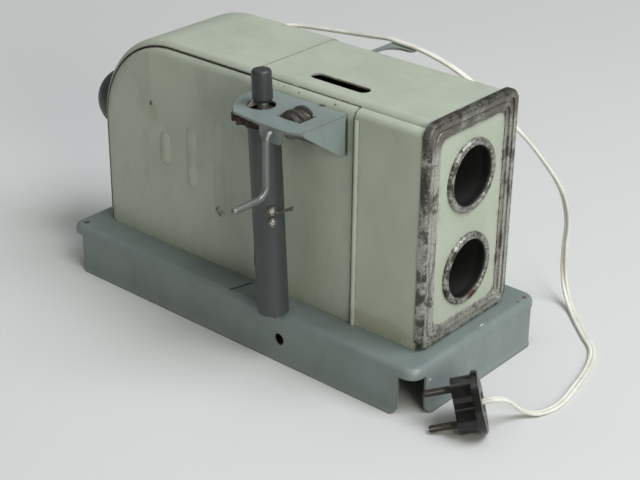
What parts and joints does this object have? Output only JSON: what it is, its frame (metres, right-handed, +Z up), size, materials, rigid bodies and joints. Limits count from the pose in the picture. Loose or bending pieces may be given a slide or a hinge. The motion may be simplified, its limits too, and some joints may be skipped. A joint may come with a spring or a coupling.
{
  "type": "toy film projector",
  "caption": "Hand-cranked sheet-metal film projector with stacked lenses, a worm-driven take-up spool, a lift-up lamp cover and a mains cord.",
  "frame": {"origin": "centre of the box round everything but the cord and plug, at the height of the table", "axes": "+X the way the lenses look, +Y to the side away from the crank, +Z up"},
  "size_m": [0.3547, 0.2227, 0.1724],
  "materials": {
    "blue_grey_paint": "old blue-grey enamel with rust spots and chips",
    "green_paint": "old sage green enamel, chipped and rust-stained at the edges",
    "worn_steel": "browned, worn steel",
    "black_paint": "flat black",
    "lens_glass": "clear ground glass",
    "bare_steel": "worn bright steel",
    "bulb_glass": "clear bulb glass",
    "brass_part": "dull brass",
    "socket_bakelite": "brown-black moulded plastic",
    "mirror_steel": "bright reflector sheet",
    "spring_steel": "whitish plated spring leaf",
    "bakelite": "black moulded plastic",
    "cord_plastic": "off-white soft plastic",
    "dark_blue_paint": "dark blue-grey enamel, worn at the ends",
    "fibre": "red-brown laminated fibre",
    "dark_blue_plastic": "dark blue-grey moulded knob, slightly dulled"
  },
  "bodies": {
    "frame": {"base_pan": "blue_grey_paint", "side_panel_near": "green_paint", "side_panel_far": "green_paint", "front_shell": "green_paint", "front_bezel": "green_paint", "lens_rim_upper": "worn_steel", "lens_rim_lower": "worn_steel", "lens_board": "black_paint", "lens_tube_upper": "black_paint", "lens_tube_lower": "black_paint", "lens_upper": "lens_glass", "lens_lower": "lens_glass", "lens_retainers": "bare_steel", "film_gate_front": "black_paint", "film_gate_rear": "black_paint", "lamp_bulb": "bulb_glass", "lamp_cap": "brass_part", "lamp_socket": "socket_bakelite", "lamp_bracket": "bare_steel", "reflector": "mirror_steel", "shutter_guides": "bare_steel", "drive_bracket": "blue_grey_paint", "spindle_spring": "spring_steel", "supply_hook": "blue_grey_paint", "bracket_rivets": "bare_steel", "shaft_bush": "brass_part", "spool_step": "blue_grey_paint", "foot_hinge_pin": "bare_steel", "cord_grommet": "bakelite", "base_screws": "bare_steel", "mains_cord": "cord_plastic", "plug_body": "bakelite", "plug_cover": "bakelite", "plug_pins": "worn_steel"},
    "shaft": {"crank_rod": "bare_steel", "worm": "worn_steel", "shutter_crank": "worn_steel", "shaft_collar": "bare_steel"},
    "link": {"shutter_link": "worn_steel"},
    "foot": {"foot_pin": "bare_steel"},
    "spool": {"spool_tube": "dark_blue_paint", "spool_top_plug": "dark_blue_paint", "spool_bottom_plug": "bare_steel", "spool_gear": "fibre", "spool_spindle": "bare_steel", "spool_knob": "dark_blue_plastic", "clip_rivets": "bare_steel", "film_clip": "bare_steel"},
    "shutter": {"shutter_blade": "black_paint", "shutter_pin": "bare_steel"},
    "cover": {"lamp_cover": "green_paint", "cover_knob": "dark_blue_plastic", "cover_screw": "bare_steel", "cover_tongues": "green_paint"}
  },
  "joints": [
    {"name": "crank_turn", "type": "hinge", "parent": "frame", "child": "shaft", "pos_m": [0.06564, -0.039, 0.1515], "axis": [0, 1, 0], "continuous": true},
    {"name": "link_swing", "type": "hinge", "parent": "shaft", "child": "link", "pos_m": [0.06564, 0, 0.1375], "axis": [0, 1, 0], "continuous": true},
    {"name": "spool_tilt", "type": "hinge", "parent": "frame", "child": "foot", "pos_m": [0.04834, -0.039, 0.034], "axis": [0, -1, 0], "range_deg": [0, 0.9], "stiffness_Nm_per_rad": 1, "springref_deg": -3.44},
    {"name": "spool_spin", "type": "hinge", "parent": "foot", "child": "spool", "pos_m": [0.04834, -0.039, 0.034], "axis": [-0.056, 0, 0.9984], "continuous": true},
    {"name": "shutter_lift", "type": "slide", "parent": "frame", "child": "shutter", "axis": [0, 0, 1], "range_m": [0, 0.028]},
    {"name": "cover_lift", "type": "hinge", "parent": "frame", "child": "cover", "pos_m": [0.01394, 0.021, 0.162], "axis": [0, 1, 0], "range_deg": [0, 95]}
  ],
  "couplings": [
    {"joint": "link_swing", "follows": "crank_turn", "ratio": -1},
    {"joint": "spool_spin", "follows": "crank_turn", "ratio": -0.071429}
  ]
}
